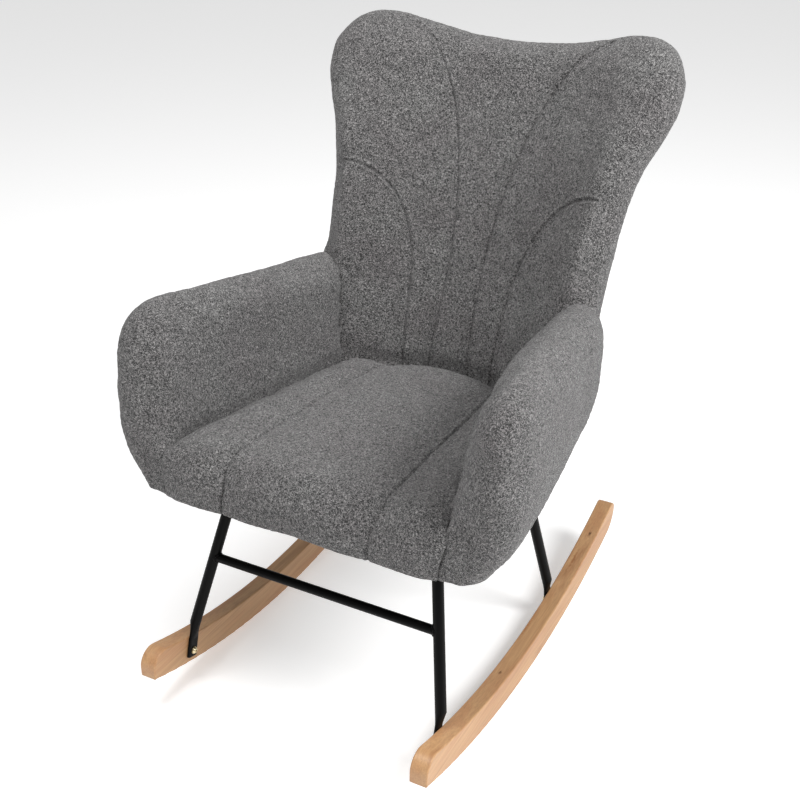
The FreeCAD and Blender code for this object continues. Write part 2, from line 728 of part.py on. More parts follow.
def back_bracket():
    """Bent steel strap from under the rear rail up the front of the back's core."""
    body = new_body("bracket_blank")
    profile = new_sketch(body, "bracket_profile", "YZ_Plane")
    gauge = size("rail_thickness")
    front = size("frame_rear") - size("lumber_width")
    lean = size("back_lean")
    core_face = size("back_foot_y") + size("back_foam")
    foot = core_face - size("bracket_width") ** 2 / (8 * size("back_radius"))
    rise, fold = size("bracket_rise"), size("bracket_fold")
    polygon(profile, [(front, -gauge), (foot - lean * gauge, -gauge), (foot + lean * rise, rise),
                      (foot + lean * rise - fold, rise), (foot - fold, 0), (front, 0)])
    strap = body.newObject("PartDesign::Pad", "bracket_strap")
    strap.Profile = profile
    strap.Midplane = True
    strap.setExpression("Length", "Sizes.bracket_width")
    doc.recompute()
    body.Placement = Placement(level(0, SEAT_BASE), Rotation())
    drills = holes("bracket_drill", "Sizes.bolt / 2", "4 * Sizes.rail_thickness",
                   [(p - Z_AXIS * 2 * gauge, Z_AXIS) for p in bracket_bolt_places()])
    bracket = cut("back_bracket", body, *drills)
    bolts = [at(p - Z_AXIS * gauge, Z_AXIS) for p in bracket_bolt_places()]
    copies("bracket_bolts", bolt("bracket_bolt", size("lumber_height") * 0.8), bolts)
    return node("back_bracket", bracket)


# ---------------------------------------------------------------- arms
def arm_outline():
    """Side view of an arm, in its own plane: u from the rocker tips, v above the base."""
    base, drop = SEAT_BASE, size("arm_drop")
    return [(size("arm_front"), -drop),
            (size("arm_nose"), size("arm_nose_z") - base),
            (size("arm_front_top"), size("arm_top_front_z") - base),
            (size("arm_top_front_y"), size("arm_top_front_z") - base),
            (size("arm_top_mid_y"), size("arm_top_mid_z") - base),
            (size("arm_rear_y"), size("arm_top_rear_z") - base),
            (size("arm_rear_y") - size("back_lean") * (size("arm_top_rear_z") - base + drop), -drop)]


def arm_placement(side, inward=0.0):
    """Leans an arm outward and turns its rear end inward."""
    hinge = level(size("arm_front"), SEAT_BASE, side * (size("arm_inner_x") + inward))
    flare = Rotation(Y_AXIS, side * size("arm_flare"))
    taper = Rotation(Z_AXIS, side * size("arm_taper"))
    return Placement(hinge, taper.multiply(flare))


def arm_slab(name, side, start, thickness, inset):
    """An arm-shaped slab, from start to start + thickness outward from the inner face."""
    body = new_body(name)
    sketch = new_sketch(body, name + "_outline", "YZ_Plane",
                        Placement(Vector(0, 0, side * start), Rotation()))
    front = size("arm_front")
    points = [(u - front, v) for u, v in arm_outline()]
    if inset:
        points = inset_points(points, inset)
    polygon(sketch, points)
    slab = body.newObject("PartDesign::Pad", name + "_slab")
    slab.Profile = sketch
    slab.Length = thickness
    slab.Reversed = side < 0
    doc.recompute()

    def upright(edge):
        return abs(edge.tangentAt(edge.FirstParameter).x) > 0.99

    def near(point):
        return lambda edge: (upright(edge) and
                             abs(edge.CenterOfMass.y - point[0]) < NEAR and
                             abs(edge.CenterOfMass.z - point[1]) < NEAR)

    last = fillet(body, slab, name + "_corner", "Sizes.arm_corner - %g" % inset, near(points[2]))
    if not inset:
        low, rear = points[0][1], points[-2][0]

        def rim(edge):
            flat = edge.BoundBox.XLength < 1e-6
            return flat and edge.CenterOfMass.z > low + NEAR and edge.CenterOfMass.y < rear - CLEAR / 2

        last = fillet(body, last, name + "_round", "Sizes.arm_round", rim)
    body.Placement = arm_placement(side)
    return body


def inset_points(points, inset):
    """The outline's corners moved in by inset, the bottom edge left where it is."""
    low = min(v for u, v in points)
    middle = sum(u for u, v in points) / len(points)
    moved = []
    for u, v in points:
        moved.append((u + (inset if u < middle else -inset), v if v == low else v - inset))
    return moved


def arm(side_name, above, back, frame_block):
    """Plywood arm panel inside its padding; the panel shows at the foot."""
    side = SIDES[side_name]
    name = "arm_pad_" + side_name
    slab = arm_slab(name + "_full", side, 0.0, size("arm_thickness"), 0.0)
    panel = arm_slab("arm_panel_" + side_name, side, size("arm_thickness") / 2,
                     size("arm_core"), size("arm_core_inset"))
    padding = common(name + "_above", slab, above)
    panel_above = common(name + "_panel_above", panel, above)
    core = node("arm_core_" + side_name, cut("arm_core_" + side_name, panel_above, back))
    node(name, cut(name, padding, core, back, frame_block))
    return padding


# ---------------------------------------------------------------- seat cushion
def seat_cushion(frame_block, arms):
    """Foam seat that covers the board and the front rail; its top falls to the rear."""
    body = new_body("seat_block")
    profile = new_sketch(body, "seat_profile", "YZ_Plane")
    front, rear = size("seat_front"), size("seat_rear")
    top, fall = size("seat_top") - SEAT_BASE, size("seat_drop")
    level_end = front + size("seat_nose_run")
    polygon(profile, [(front, 0), (rear, 0), (rear, top - fall), (level_end, top), (front, top)])
    block = body.newObject("PartDesign::Pad", "seat_block_pad")
    block.Profile = profile
    block.Midplane = True
    block.setExpression("Length", "2 * Sizes.frame_half_width")
    doc.recompute()
    fillet(body, block, "seat_block_round", "Sizes.seat_round",
           lambda edge: max(abs(edge.CenterOfMass.y - front), abs(edge.CenterOfMass.z - top)) < NEAR)
    body.Placement = Placement(level(0, SEAT_BASE), Rotation())
    cushion = cut("seat_cushion", body, frame_block, behind_the_back("seat_rear_trim"), *arms)
    return node("seat_cushion", cushion)


# ---------------------------------------------------------------- joining hardware
def frame_fasteners(washer):
    """Bolts up through the mounting rails into barrel nuts set in the seat frame."""
    bolts, washers, nuts = [], [], []
    for end in ("front", "rear"):
        for place in rail_bolt_places(end):
            seat = place - Z_AXIS * size("washer_thickness")
            washers.append(at(seat, Z_AXIS))
            bolts.append(at(seat, Z_AXIS))
            nuts.append(at(Vector(place.x, place.y, SEAT_BASE + size("lumber_height") / 3), Z_AXIS))
    copies("frame_bolts", bolt("frame_bolt", size("frame_bolt")), bolts)
    copies("frame_washers", washer, washers)
    nut = ring("frame_nut_blank", "Sizes.nut_barrel", "Sizes.bolt", "Sizes.lumber_height / 3")
    copies("frame_nuts", nut, nuts)


def arm_fasteners():
    """Bolts that hold each plywood arm panel against the seat frame."""
    bolts = []
    for side in SIDES.values():
        for y, z in arm_bolt_places():
            start = level(y, z, side * (size("frame_half_width") - size("lumber_width")))
            bolts.append(at(start, X_AXIS * side))
    copies("arm_bolts", bolt("arm_bolt", size("lumber_width")), bolts)


def build():
    for side_name, side in SIDES.items():
        rocker("rocker_" + side_name, side)
        for end in ("front", "rear"):
            leg("%s_leg_%s" % (end, side_name), end, side)
    for end in ("front", "rear"):
        stretcher(end + "_stretcher", end)
        mount_rail(end + "_mount_rail", end)
    washer = rocker_fasteners()
    lumber()
    seat_board()
    dust_cover()
    frame_fasteners(washer)
    arm_fasteners()
    back = backrest()
    frame_block = box("frame_block", "2 * Sizes.frame_half_width",
                      "Sizes.frame_rear - Sizes.frame_front",
                      "Sizes.lumber_height + Sizes.board_thickness",
                      "-Sizes.frame_half_width", "Sizes.frame_front", BASE)
    above = everything_above("above_the_base", BASE)
    seat_cushion(frame_block, [arm(side_name, above, back, frame_block) for side_name in SIDES])


def check_and_write():
    """Stop on any failed object or bad shape, then write one STEP file per sub-part."""
    doc.recompute()
    bad = [obj.Name for obj in doc.Objects if {"Invalid", "Error"} & set(obj.State)]
    if bad:
        raise RuntimeError("failed objects: " + ", ".join(bad))
    for name, obj in NODES.items():
        if obj.Shape.isNull() or not obj.Shape.isValid() or not obj.Shape.Solids:
            raise RuntimeError("bad shape: " + name)
    whole = FreeCAD.BoundBox()
    for name, obj in NODES.items():
        whole.add(obj.Shape.BoundBox)
        obj.Shape.exportStep("parts/%s.step" % name)
        print("%-22s %9.1f cm3 %d solids" % (name, obj.Shape.Volume / 1000, len(obj.Shape.Solids)))
    print("box", whole, "middle", whole.Center)


build()
check_and_write()
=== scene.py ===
"""Looks of the upholstered rocking chair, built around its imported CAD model.

Metres, in the row frame: +Z up, -Y towards the sitter's feet, +X the sitter's left.
The shape functions count lengths along Y from the front tips of the rockers.
"""

import json
import math

import bmesh
import bpy
import numpy as np
from mathutils import Matrix, Vector
from mathutils.bvhtree import BVHTree
from mathutils.kdtree import KDTree


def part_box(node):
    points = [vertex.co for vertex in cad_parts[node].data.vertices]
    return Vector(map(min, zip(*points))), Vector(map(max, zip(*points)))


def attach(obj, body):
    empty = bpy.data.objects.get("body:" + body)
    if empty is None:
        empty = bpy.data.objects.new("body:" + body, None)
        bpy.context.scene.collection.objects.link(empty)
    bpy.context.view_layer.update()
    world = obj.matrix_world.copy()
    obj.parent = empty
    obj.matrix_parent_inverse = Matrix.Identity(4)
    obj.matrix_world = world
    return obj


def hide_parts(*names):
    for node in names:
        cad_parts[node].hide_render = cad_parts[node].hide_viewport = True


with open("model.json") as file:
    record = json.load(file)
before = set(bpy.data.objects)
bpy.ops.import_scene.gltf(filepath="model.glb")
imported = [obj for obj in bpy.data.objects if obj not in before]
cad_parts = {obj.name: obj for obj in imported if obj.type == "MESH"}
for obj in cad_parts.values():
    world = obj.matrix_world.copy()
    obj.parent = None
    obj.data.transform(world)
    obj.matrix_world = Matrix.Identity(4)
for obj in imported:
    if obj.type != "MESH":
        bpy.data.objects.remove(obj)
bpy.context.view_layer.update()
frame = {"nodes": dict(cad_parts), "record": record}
TIPS_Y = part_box("rocker_left")[0].y
BASE_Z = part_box("seat_frame_left")[0].z
FRAME_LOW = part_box("seat_board")[0]
FRAME_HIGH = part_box("seat_board")[1]

GAP = 0.0012                 # air left between pieces that touch
BACK_VOXEL = 0.0083          # remesh sizes of the padded pieces
ARM_VOXEL = 0.0058
SEAT_VOXEL = 0.0060
SPARE = 0.014                # made below the seat base, cut off level at the end
FOOT_Z = BASE_Z - SPARE
MIRROR = np.array([-1, 1])   # turns an (x, z) outline into the other side's


# ---------------------------------------------------------------- curves and surfaces
def through(*points):
    """A smooth curve through (place, value) points that never swings past them."""
    places, values = np.array(points, float).T
    steps = np.diff(places)
    slopes = np.diff(values) / steps
    before, after = slopes[:-1], slopes[1:]
    same_way = before * after > 0
    sums = np.where(same_way, before + after, 1.0)
    inner = np.where(same_way, 2 * before * after / sums, 0.0)
    tangents = np.concatenate([slopes[:1], inner, slopes[-1:]])

    def value(x):
        """The curve's value at x, held level beyond its ends."""
        x = np.clip(x, places[0], places[-1])
        k = np.clip(np.searchsorted(places, x) - 1, 0, len(steps) - 1)
        step = steps[k]
        t = (x - places[k]) / step
        start = values[k] * (1 + 2 * t) * (1 - t) ** 2 + step * tangents[k] * t * (1 - t) ** 2
        return start + values[k + 1] * t * t * (3 - 2 * t) - step * tangents[k + 1] * t * t * (1 - t)

    return value


def evenly(points, count):
    """count points spread evenly along a polyline."""
    points = np.array(points, float)
    run = np.concatenate([[0], np.cumsum(np.linalg.norm(np.diff(points, axis=0), axis=1))])
    places = np.linspace(0, run[-1], count)
    return np.stack([np.interp(places, run, points[:, k]) for k in range(points.shape[1])], axis=1)


def rounded_corners(points, radii, steps=12):
    """A polyline whose inner corners are replaced by arcs of the given radii."""
    points = np.array(points, float)
    path = [points[0]]
    for before, corner, after, radius in zip(points, points[1:], points[2:], radii):
        a, b = before - corner, after - corner
        a, b = a / np.linalg.norm(a), b / np.linalg.norm(b)
        half = math.acos(np.clip(a @ b, -1, 1)) / 2
        middle = (a + b) / np.linalg.norm(a + b)
        centre = corner + middle * radius / math.sin(half)
        reach = radius / math.tan(half)
        start, end = corner + a * reach - centre, corner + b * reach - centre
        turn = math.acos(np.clip(start @ end / radius ** 2, -1, 1))
        for t in np.linspace(0, 1, steps):
            share = (math.sin((1 - t) * turn) * start + math.sin(t * turn) * end) / math.sin(turn)
            path.append(centre + share)
    path.append(points[-1])
    return np.array(path)


def ease(t):
    """Closer steps at both ends of 0 to 1."""
    return (1 - np.cos(np.pi * t)) / 2


def resample(points, places):
    """Points at shares 0 to 1 of an evenly stepped polyline."""
    index = np.linspace(0, 1, len(points))
    return np.stack([np.interp(places, index, points[:, k]) for k in range(points.shape[1])], axis=1)


def patch(bottom, top, left, right):
    """A grid of points that fills four edges given as point rows (a Coons patch)."""
    across, up = ease(np.linspace(0, 1, len(bottom))), ease(np.linspace(0, 1, len(left)))
    u, v = across[None, :, None], up[:, None, None]
    bottom, top = resample(bottom, across)[None], resample(top, across)[None]
    left, right = resample(left, up)[:, None], resample(right, up)[:, None]
    ruled = (1 - v) * bottom + v * top + (1 - u) * left + u * right
    corners = ((1 - u) * (1 - v) * bottom[:, :1] + u * (1 - v) * bottom[:, -1:] +
               (1 - u) * v * top[:, :1] + u * v * top[:, -1:])
    return ruled - corners


def edge_distance(grid, outline, batch=2000):
    """Distance from every grid point to a dense polyline."""
    flat = grid.reshape(-1, grid.shape[-1])
    nearest = np.full(len(flat), np.inf)
    for start in range(0, len(flat), batch):
        gaps = flat[start:start + batch, None] - outline[None]
        nearest[start:start + batch] = np.sqrt((gaps ** 2).sum(-1)).min(1)
    return nearest.reshape(grid.shape[:-1])


def closed_rim(distance):
    """The same distances with the rim itself, every edge but the first row, at zero."""
    distance[:, 0] = 0
    distance[:, -1] = 0
    distance[-1] = 0
    return distance


def round_share(distance, radius):
    """Share of the full thickness at a distance from a full-round rim."""
    near = np.clip(1 - distance / radius, 0, 1)
    return np.sqrt(1 - near ** 2)


# ---------------------------------------------------------------- the barrel back
BACK_HALF = 0.0430           # half the thickness of the padded back
BACK_LEVEL_HALF = 0.0465     # the same in a level section
RIM_ROUND = 0.045            # how far in from the rim the full-round edge reaches
CORE_INSET = 0.026           # from the padded rim to the moulded core's
CORE_HALF = 0.003
CORE_CORNER = 0.01           # length at each wing corner that the core cuts straight

face_y = through((0.398, 0.598), (0.436, 0.607), (0.516, 0.632), (0.587, 0.664), (0.732, 0.731),
                 (0.874, 0.799), (1.05, 0.883))
sheet_radius = through((0.398, 0.365), (0.80, 0.365), (0.95, 0.475), (1.05, 0.52))
WING_CORNER = (0.3150, 1.0140)
SIDE_RIM = [(0.264, FOOT_Z), (0.268, 0.633), (0.2725, 0.71), (0.2790, 0.79), (0.2930, 0.85),
            (0.3135, 0.905), (0.3270, 0.955), (0.3275, 0.985), WING_CORNER]
TOP_RIM = [WING_CORNER, (0.2970, 1.0310), (0.2700, 1.0385), (0.2350, 1.0370), (0.170, 1.0220),
           (0.085, 1.0040), (0.0, 0.9980)]


def smooth_outline(points, count):
    """A smooth line through a few outline points, stepped evenly."""
    points = np.array(points, float)
    run = np.concatenate([[0], np.cumsum(np.linalg.norm(np.diff(points, axis=0), axis=1))])
    places = np.linspace(0, run[-1], 400)
    columns = [through(*zip(run, points[:, k]))(places) for k in range(points.shape[1])]
    return evenly(np.stack(columns, axis=1), count)


def back_sheet(x, z):
    """The middle of the padded back, as points from the rocker tips."""
    radius = sheet_radius(z)
    sag = radius - np.sqrt(radius ** 2 - x ** 2)
    return np.stack([x, face_y(z) + BACK_LEVEL_HALF - sag, z], axis=-1)


def back_normal(x, z, step=1e-4):
    """Unit vector from the back's middle sheet towards its rear."""
    across = back_sheet(x + step, z) - back_sheet(x - step, z)
    up = back_sheet(x, z + step) - back_sheet(x, z - step)
    normal = np.cross(up, across)
    return normal / np.linalg.norm(normal, axis=-1, keepdims=True)


def back_face(x, z):
    """The padded face of the back at a height and a distance from the middle plane."""
    return back_sheet(x, z) - back_normal(x, z) * BACK_HALF


def mesh_object(name, points, faces):
    """A new object in the row frame from points counted from the rocker tips."""
    mesh = bpy.data.meshes.new(name)
    placed = np.array(points, float) + np.array([0, TIPS_Y, 0])
    mesh.from_pydata([tuple(p) for p in placed], [], [tuple(f) for f in faces])
    mesh.validate()
    obj = bpy.data.objects.new(name, mesh)
    bpy.context.scene.collection.objects.link(obj)
    return obj


def grid_faces(rows, columns, first=0, flip=False):
    """Quads of a grid of points numbered row by row."""
    faces = []
    for r in range(rows - 1):
        for c in range(columns - 1):
            a = first + r * columns + c
            quad = (a, a + 1, a + columns + 1, a + columns)
            faces.append(quad[::-1] if flip else quad)
    return faces


def two_sided(name, front, rear):
    """A closed mesh from two grids that meet along every edge but the first row."""
    rows, columns = front.shape[:2]
    count = rows * columns
    faces = grid_faces(rows, columns) + grid_faces(rows, columns, count, flip=True)
    faces += [(c + 1, c, count + c, count + c + 1) for c in range(columns - 1)]
    obj = mesh_object(name, np.concatenate([front.reshape(-1, 3), rear.reshape(-1, 3)]), faces)
    tidy(obj)
    return obj


def tidy(obj, reach=2e-5):
    """Join points that coincide and face every normal outward."""
    work = bmesh.new()
    work.from_mesh(obj.data)
    bmesh.ops.remove_doubles(work, verts=work.verts, dist=reach)
    bmesh.ops.dissolve_degenerate(work, edges=work.edges, dist=reach)
    bmesh.ops.recalc_face_normals(work, faces=work.faces)
    work.to_mesh(obj.data)
    work.free()
    obj.data.update()


def leaning_sheet(name, side, top, half, edge_round, columns, rim_points):
    """A thick barrel sheet with a round rim, from its (x, z) outline on the sitter's left.

    side runs from the foot up to the wing corner, and top from there to the middle plane.
    """
    whole_top = np.concatenate([top * MIRROR, top[::-1][1:]])
    foot = np.stack([np.linspace(-side[0, 0], side[0, 0], columns), np.full(columns, side[0, 1])], axis=1)
    grid = patch(foot, evenly(whole_top, columns), side * MIRROR, side)
    x, z = grid[..., 0], grid[..., 1]
    middle, normal = back_sheet(x, z), back_normal(x, z)
    rim = evenly(np.concatenate([side * MIRROR, whole_top, side[::-1]]), rim_points)
    distance = closed_rim(edge_distance(middle, back_sheet(*rim.T)))
    depth = (half * round_share(distance, edge_round))[..., None]
    return two_sided(name, middle - normal * depth, middle + normal * depth)


def back_shape(name="back_shape", columns=110, rows=80):
    """The padded back: a thick leaning barrel sheet with a full-round rim."""
    side = smooth_outline(SIDE_RIM, rows)
    top = smooth_outline(TOP_RIM, columns // 2)
    return leaning_sheet(name, side, top, BACK_HALF, RIM_ROUND, columns, rim_points=900)


def inset_line(line, inset):
    """An outline in (x, z) moved inward, to its left as it runs."""
    tangent = np.gradient(line, axis=0)
    tangent /= np.linalg.norm(tangent, axis=1, keepdims=True)
    return line + np.stack([-tangent[:, 1], tangent[:, 0]], axis=1) * inset


def back_core(columns=60, rows=44):
    """The moulded shell in the middle of the padded back."""
    side = inset_line(smooth_outline(SIDE_RIM, 300), CORE_INSET)
    top = inset_line(smooth_outline(TOP_RIM, 300), CORE_INSET)
    corner = np.minimum(side[-1], top[0])
    side = evenly(np.concatenate([side[side[:, 1] < corner[1] - CORE_CORNER], [corner]]), rows)
    top = evenly(np.concatenate([[corner], top[top[:, 0] < corner[0] - CORE_CORNER]]), columns // 2)
    side[:, 1] = np.maximum(side[:, 1], BASE_Z + 0.004)
    core = leaning_sheet("back_core_shell", side, top, CORE_HALF, CORE_HALF, columns, rim_points=600)
    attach(core, "root")
    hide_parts("backrest_core")
    return core


# ---------------------------------------------------------------- the arms
ARM_FLARE = math.tan(math.radians(10.0))
ARM_INNER_X = 0.240          # inner face at the seat base
ARM_ROUND = 0.042            # how far in from the rim the outer face rounds over
ARM_NOSE = (0.096, 0.699)    # where the front and the top would meet if they were sharp
ARM_NOSE_ROUND = 0.084

inner_taper = through((0.07, 0.005), (0.171, 0.012), (0.247, 0.024), (0.346, 0.039), (0.44, 0.050),
                      (0.55, 0.062), (0.66, 0.076))
outer_taper = through((0.07, 0.0), (0.15, 0.003), (0.22, 0.009), (0.30, 0.018), (0.38, 0.028),
                      (0.465, 0.039), (0.53, 0.047), (0.59, 0.061), (0.66, 0.082))
outer_bow = through((0.398, 0.302), (0.415, 0.314), (0.46, 0.343), (0.52, 0.354), (0.56, 0.355),
                    (0.60, 0.353), (0.70, 0.350))
inner_round = through((0.38, 0.006), (0.46, 0.016), (0.62, ARM_ROUND))
ARM_FRONT = [(0.077, FOOT_Z), (0.084, 0.47), (0.092, 0.60)]
ARM_TOP = [(0.22, 0.693), (0.33, 0.680), (0.46, 0.661), (0.59, 0.643), (0.668, 0.632)]
ARM_REAR_FOOT = (0.572, FOOT_Z)


def arm_inner(y, z):
    """Distance of an arm's inner face from the middle plane."""
    return ARM_INNER_X + ARM_FLARE * (z - BASE_Z) - inner_taper(y)


def arm_outer(y, z):
    """Distance of an arm's outer face from the middle plane."""
    return outer_bow(z) - outer_taper(y)


def arm_shape(name="arm_shape", columns=70, rows=44):
    """The sitter's left arm before it is fitted to the back and to the seat frame."""
    front_line = np.concatenate([smooth_outline(ARM_FRONT, 20)[:-1],
                                 rounded_corners([ARM_FRONT[-1], ARM_NOSE, ARM_TOP[0]], [ARM_NOSE_ROUND])])
    front_line = evenly(front_line, 200)
    split = 125              # the patch's corner, part of the way round the nose
    left = evenly(front_line[:split + 1], rows)
    top = evenly(np.concatenate([front_line[split:], smooth_outline(ARM_TOP, 60)[1:]]), columns)
    right = evenly([ARM_REAR_FOOT, ARM_TOP[-1]], rows)
    foot = evenly([ARM_FRONT[0], ARM_REAR_FOOT], columns)
    grid = patch(foot, top, left, right)
    y, z = grid[..., 0], grid[..., 1]
    rim = evenly(np.concatenate([left, top[1:], right[::-1][1:]]), 800)
    distance = closed_rim(edge_distance(grid, rim))
    inner, outer = arm_inner(y, z), arm_outer(y, z)
    middle, half = (inner + outer) / 2, (outer - inner) / 2
    near = np.stack([middle - half * round_share(distance, inner_round(z)), y, z], axis=-1)
    far = np.stack([middle + half * round_share(distance, ARM_ROUND), y, z], axis=-1)
    return two_sided(name, near, far)


# ---------------------------------------------------------------- the seat
SEAT_FRONT = 0.0785
SEAT_NOSE = 0.036            # rounding of the front edge
SEAT_LEVEL = 0.46            # height at which the top's width is taken
SEAT_REAR = (0.56, 0.445)    # about where the top meets the back
SEAT_SIDE_HALF = 0.062       # half the width of a side panel
SEAT_FILL = 0.014            # how far the seat spreads over the arms' rounded fronts
seat_seam_x = through((0.07, 0.132), (0.105, 0.1375), (0.147, 0.137), (0.211, 0.135), (0.281, 0.131),
                      (0.351, 0.130), (0.438, 0.125), (0.522, 0.120), (0.60, 0.112))
seat_seam_z = through((0.07, 0.478), (0.105, 0.4785), (0.147, 0.478), (0.211, 0.474), (0.281, 0.470),
                      (0.351, 0.466), (0.438, 0.459), (0.522, 0.452), (0.62, 0.440))
SEAT_CENTRE_CROWN = 0.008
SEAT_SIDE_CROWN = 0.007
SEAT_FRONT_BULGE = 0.004


def seat_top(x, y):
    """Height of the seat's top: three crowned panels that fall to the rear."""
    seam = seat_seam_x(y)
    x = np.abs(x)
    centre = SEAT_CENTRE_CROWN * (1 - np.clip(x / seam, 0, 1) ** 2)
    from_crown = np.clip(np.abs(x - seam - SEAT_SIDE_HALF) / SEAT_SIDE_HALF, 0, 1.6)
    side = SEAT_SIDE_CROWN * (1 - from_crown ** 2)
    return seat_seam_z(y) + np.where(x < seam, centre, side)


def seat_side(y, z):
    """Half-width of the seat: it meets the arms' inner faces and fills their rounded fronts."""
    y = np.maximum(y, SEAT_FRONT)
    behind = np.maximum(y - SEAT_FRONT, 0)
    inner = arm_inner(y, z)
    half = (arm_outer(y, z) - inner) / 2
    filled = half * (1 - round_share(behind, 2.2 * inner_round(z)))
    return inner + np.minimum(filled, SEAT_FILL) - GAP / 2


def seat_profile(share):
    """One fore-and-aft section of the seat, share -1 to 1 from side to side, as (y, z)."""
    board_y0 = FRAME_LOW.y - TIPS_Y - GAP
    board_y1 = FRAME_HIGH.y - TIPS_Y + GAP
    board_z = FRAME_HIGH.z + GAP
    x_front = share * seat_side(SEAT_FRONT, SEAT_LEVEL)
    x_rear = share * seat_side(*SEAT_REAR)
    rear_low = back_face(np.array(x_rear), np.array(FOOT_Z))[1] - GAP
    rear_top = back_face(np.array(x_rear), np.array(SEAT_REAR[1]))[1] - GAP
    face = SEAT_FRONT - SEAT_FRONT_BULGE * (1 - share ** 2)
    top_z = float(seat_top(np.array(x_front), np.array(SEAT_FRONT + SEAT_NOSE)))
    recess = [(rear_low, FOOT_Z), (board_y1, FOOT_Z), (board_y1, board_z), (board_y0, board_z),
              (board_y0, FOOT_Z), (face, FOOT_Z)]
    front = [(face, z) for z in np.linspace(FOOT_Z, top_z - SEAT_NOSE, 16)[1:]]
    turns = np.linspace(0, math.pi / 2, 14)[1:]
    nose = [(face + SEAT_NOSE * (1 - math.cos(t)), top_z - SEAT_NOSE * (1 - math.sin(t))) for t in turns]
    places = np.linspace(face + SEAT_NOSE, rear_top, 60)[1:]
    heights = [float(seat_top(np.array(share * seat_side(y, SEAT_LEVEL)), np.array(y))) for y in places]
    return recess + front + nose + list(zip(places, heights))


def seat_shape(name="seat_shape", columns=72):
    """The padded seat over its board and front rail."""
    shares = np.sin(np.linspace(-math.pi / 2, math.pi / 2, columns))
    sections = np.array([seat_profile(s) for s in shares])
    y, z = sections[..., 0], sections[..., 1]
    x = shares[:, None] * seat_side(y, z)
    points = np.stack([x, y, z], axis=-1)
    ring = points.shape[1]
    faces = []
    for c in range(columns - 1):
        for k in range(ring):
            a, b = c * ring + k, c * ring + (k + 1) % ring
            faces.append((a, b, b + ring, a + ring))
    faces.append(tuple(range(ring)))
    faces.append(tuple((columns - 1) * ring + k for k in reversed(range(ring))))
    obj = mesh_object(name, points.reshape(-1, 3), faces)
    tidy(obj)
    return obj


# ---------------------------------------------------------------- soft shaping
def modified(obj, kind, **settings):
    """Apply one modifier to an object."""
    step = obj.modifiers.new(kind.lower(), kind)
    for key, value in settings.items():
        setattr(step, key, value)
    depsgraph = bpy.context.evaluated_depsgraph_get()
    made = bpy.data.meshes.new_from_object(obj.evaluated_get(depsgraph))
    obj.modifiers.clear()
    obj.data = made


def cut_away(obj, tool):
    """Take a tool's space out of an object."""
    modified(obj, "BOOLEAN", operation="DIFFERENCE", solver="EXACT", object=tool)


def remesh(obj, voxel):
    """An even skin of small quads."""
    modified(obj, "REMESH", mode="VOXEL", voxel_size=voxel, adaptivity=0)


def relax(obj):
    """Even out a skin without moving it far."""
    modified(obj, "SMOOTH", factor=0.5, iterations=2)


def subdivide(obj):
    """Make a skin smoother, with four faces for each one."""
    modified(obj, "SUBSURF", levels=1, render_levels=1)


def swollen(obj, amount):
    """Move every point of a mesh out along its normal."""
    for vertex in obj.data.vertices:
        vertex.co += vertex.normal * amount
    return obj


def vertex_rows(mesh, attribute):
    """One vector attribute of a mesh's vertices, one row each."""
    values = np.empty(len(mesh.vertices) * 3, np.float32)
    mesh.vertices.foreach_get(attribute, values)
    return values.reshape(-1, 3).astype(float)


def points_of(obj):
    """Where an object's vertices are."""
    return vertex_rows(obj.data, "co")


def normals_of(obj):
    """Which way an object's skin faces at each vertex."""
    return vertex_rows(obj.data, "normal")


def set_points(obj, points):
    """Move an object's vertices to points."""
    obj.data.vertices.foreach_set("co", points.astype(np.float32).ravel())
    obj.data.update()


def gaps_to(points, others, reach):
    """Distance from each point to the nearest of the other meshes, at most reach."""
    gaps = np.full(len(points), reach)
    for tree in others:
        for k, p in enumerate(points):
            hit = tree.find_nearest(p, reach)
            if hit[0] is not None:
                gaps[k] = min(gaps[k], hit[3])
    return gaps


CLOTH = dict(quality=4, mass=0.4, tension_stiffness=22, compression_stiffness=22, shear_stiffness=8,
             bending_stiffness=2.5, use_pressure=True, uniform_pressure_force=4.0)
CLOTH_FRAMES = 20
SHARE_OF_GAP = 0.42          # of the air to a neighbour that a piece may swell into


def inflate(obj, neighbours, cap):
    """Swell a padded piece as cloth under pressure, held back near what it touches."""
    start = points_of(obj)
    cloth = obj.modifiers.new("cloth", "CLOTH")
    for key, value in CLOTH.items():
        setattr(cloth.settings, key, value)
    cloth.settings.effector_weights.gravity = 0
    cloth.point_cache.frame_start = 1
    cloth.point_cache.frame_end = CLOTH_FRAMES
    scene = bpy.context.scene
    for number in range(1, CLOTH_FRAMES + 1):
        scene.frame_set(number)
    moved = vertex_rows(obj.evaluated_get(bpy.context.evaluated_depsgraph_get()).data, "co")
    obj.modifiers.clear()
    scene.frame_set(1)
    limit = np.minimum(cap, SHARE_OF_GAP * gaps_to(start, neighbours, cap * 3))
    shift = moved - start
    length = np.linalg.norm(shift, axis=1)
    soft = limit * np.tanh(length / np.maximum(limit, 1e-6))
    shift *= (soft / np.maximum(length, 1e-9))[:, None]
    set_points(obj, start + shift)


def tree_of(obj):
    """An object's surface, ready for searches."""
    depsgraph = bpy.context.evaluated_depsgraph_get()
    return BVHTree.FromObject(obj, depsgraph)


def remove(*objects):
    """Take helper objects out of the scene."""
    for obj in objects:
        bpy.data.objects.remove(obj)


def bump_noise(points, scale, seed, waves=14):
    """Smooth repeatable noise, about -1 to 1: a few crossed waves."""
    draw = np.random.default_rng(seed)
    total = np.zeros(len(points))
    for _ in range(waves):
        direction = draw.normal(size=3)
        direction /= np.linalg.norm(direction)
        total += np.sin(points @ direction * 2 * math.pi / scale * draw.uniform(0.7, 1.4) +
                        draw.uniform(0, 2 * math.pi))
    return total / math.sqrt(waves)


